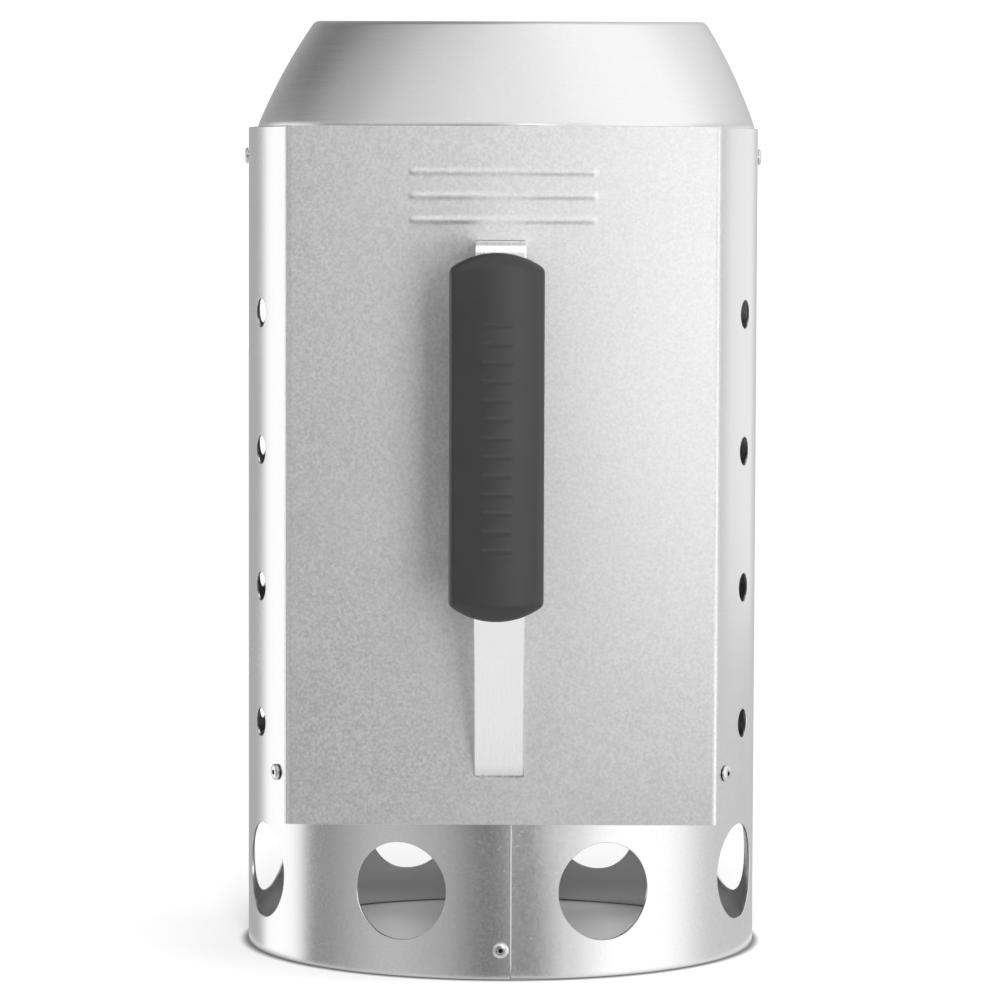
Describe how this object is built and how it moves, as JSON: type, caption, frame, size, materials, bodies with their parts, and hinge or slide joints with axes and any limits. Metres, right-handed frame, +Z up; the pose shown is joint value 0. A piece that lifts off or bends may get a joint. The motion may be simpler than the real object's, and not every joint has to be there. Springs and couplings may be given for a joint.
{
  "type": "chimney charcoal starter",
  "caption": "Sheet-steel chimney starter for lighting charcoal: vented cylinder with tapered mouth, inner grate, flat heat shield and strap handle.",
  "frame": {"origin": "middle of the whole object's box at the level it stands on; the cylinder's axis is vertical at X = 0, Y = +39.8 mm", "axes": "+Z up along the cylinder, -Y toward the heat shield and handle, +X to the right as seen from the handle side"},
  "size_m": [0.1828, 0.2624, 0.3289],
  "materials": {
    "body_steel": "bright aluminised sheet, satin",
    "cone_steel": "bright aluminised sheet, satin",
    "grate_steel": "plain sheet, dull",
    "shield_steel": "aluminised sheet, fine mottled grain",
    "strap_steel": "bright zinc plate",
    "grip_plastic": "fine satin moulding",
    "rivet_alloy": "bright drawn",
    "screw_steel": "zinc plated"
  },
  "bodies": {
    "root": {"body_shell": "body_steel", "top_cone": "cone_steel", "charcoal_grate": "grate_steel", "heat_shield": "shield_steel", "handle_strap": "strap_steel", "grip_front": "grip_plastic", "grip_rear": "grip_plastic", "grip_screw_lower": "screw_steel", "grip_screw_upper": "screw_steel", "cone_rivet_front": "rivet_alloy", "cone_rivet_right": "rivet_alloy", "cone_rivet_back": "rivet_alloy", "cone_rivet_left": "rivet_alloy", "grate_rivet_left": "rivet_alloy", "grate_rivet_right": "rivet_alloy", "grate_rivet_back": "rivet_alloy", "seam_rivet_low": "rivet_alloy", "seam_rivet_mid": "rivet_alloy", "strap_rivet_top": "rivet_alloy", "strap_rivet_upper": "rivet_alloy", "strap_rivet_lower": "rivet_alloy", "strap_rivet_bottom": "rivet_alloy", "shield_rivet_left_low": "rivet_alloy", "shield_rivet_left_high": "rivet_alloy", "shield_rivet_right_low": "rivet_alloy", "shield_rivet_right_high": "rivet_alloy"}
  },
  "joints": []
}
